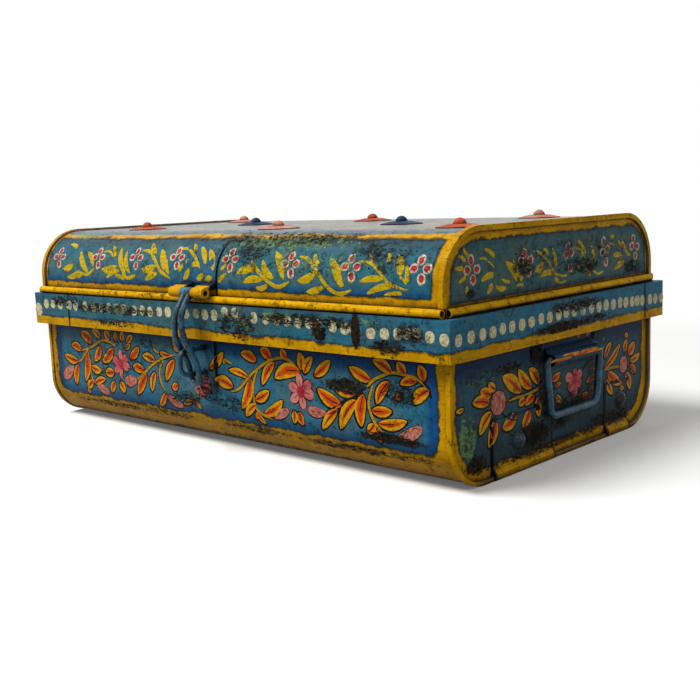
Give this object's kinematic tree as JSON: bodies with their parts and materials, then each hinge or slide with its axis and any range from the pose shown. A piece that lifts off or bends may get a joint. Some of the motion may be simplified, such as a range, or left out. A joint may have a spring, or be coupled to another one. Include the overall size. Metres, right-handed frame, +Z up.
{
  "type": "tin trunk",
  "caption": "Small hand-painted tin trunk with a rolled-edge lid that lifts on rear hinges, a swinging front hasp over a staple and a folding bail handle on each end.",
  "frame": {"origin": "on the ground under the middle of the trunk body", "axes": "+X along the length to the right-hand end seen from the front, -Y to the front with the hasp, +Z up"},
  "size_m": [0.4748, 0.3087, 0.1738],
  "materials": {
    "teal_paint": "hand-brushed teal-blue oil paint on tin, worn and grimy",
    "ochre_paint": "hand-brushed ochre-yellow oil paint on tin, worn",
    "blue_grey_paint": "glossy blue-grey oil paint on tin, streaked",
    "worn_blue_iron": "thin worn blue paint over iron rod",
    "orange_paint": "orange oil paint on pressed tin",
    "peach_paint": "peach oil paint on pressed tin",
    "navy_paint": "dark blue oil paint on pressed tin",
    "bare_wire": "dull iron wire"
  },
  "bodies": {
    "trunk": {"body_wrap": "teal_paint", "end_panel_right": "teal_paint", "end_panel_left": "teal_paint", "mouth_wires": "bare_wire", "end_strap_right_front": "teal_paint", "end_strap_right_back": "teal_paint", "end_strap_left_front": "teal_paint", "end_strap_left_back": "teal_paint", "end_strap_bosses": "teal_paint", "handle_plate_right": "teal_paint", "handle_plate_left": "teal_paint", "handle_rivets": "teal_paint", "staple_plate": "teal_paint", "hasp_staple": "worn_blue_iron", "hinge_body_leaf_right": "teal_paint", "hinge_body_leaf_left": "teal_paint", "hinge_pins": "bare_wire", "hinge_body_rivets": "teal_paint"},
    "lid": {"lid_wrap": "blue_grey_paint", "lid_end_right": "teal_paint", "lid_end_left": "teal_paint", "lid_bead_front": "ochre_paint", "lid_bead_back": "ochre_paint", "lid_bead_right": "ochre_paint", "lid_bead_left": "ochre_paint", "lid_band_front": "teal_paint", "lid_band_back": "teal_paint", "hasp_plate": "teal_paint", "hasp_plate_rivets": "teal_paint", "hasp_pin": "bare_wire", "rosette_rivets": "orange_paint", "rosette_1": "orange_paint", "rosette_2": "peach_paint", "rosette_3": "orange_paint", "rosette_4": "navy_paint", "rosette_5": "navy_paint", "rosette_6": "peach_paint", "rosette_7": "orange_paint", "rosette_8": "peach_paint", "hinge_lid_leaf_right": "teal_paint", "hinge_lid_leaf_left": "teal_paint", "hinge_lid_rivets": "teal_paint"},
    "hasp": {"hasp": "worn_blue_iron"},
    "bail_right": {"bail_right": "worn_blue_iron"},
    "bail_left": {"bail_left": "worn_blue_iron"}
  },
  "joints": [
    {"name": "lid_hinge", "type": "hinge", "parent": "trunk", "child": "lid", "pos_m": [0, 0.1454, 0.0845], "axis": [-1, 0, 0], "range_deg": [0, 165]},
    {"name": "hasp_swing", "type": "hinge", "parent": "lid", "child": "hasp", "pos_m": [-0.007, -0.146, 0.1227], "axis": [-1, 0, 0], "range_deg": [0, 150]},
    {"name": "bail_right_swing", "type": "hinge", "parent": "trunk", "child": "bail_right", "pos_m": [0.2328, 0.009, 0.072], "axis": [0, -1, 0], "range_deg": [-2, 145]},
    {"name": "bail_left_swing", "type": "hinge", "parent": "trunk", "child": "bail_left", "pos_m": [-0.2328, 0.009, 0.072], "axis": [0, 1, 0], "range_deg": [-2, 145]}
  ]
}
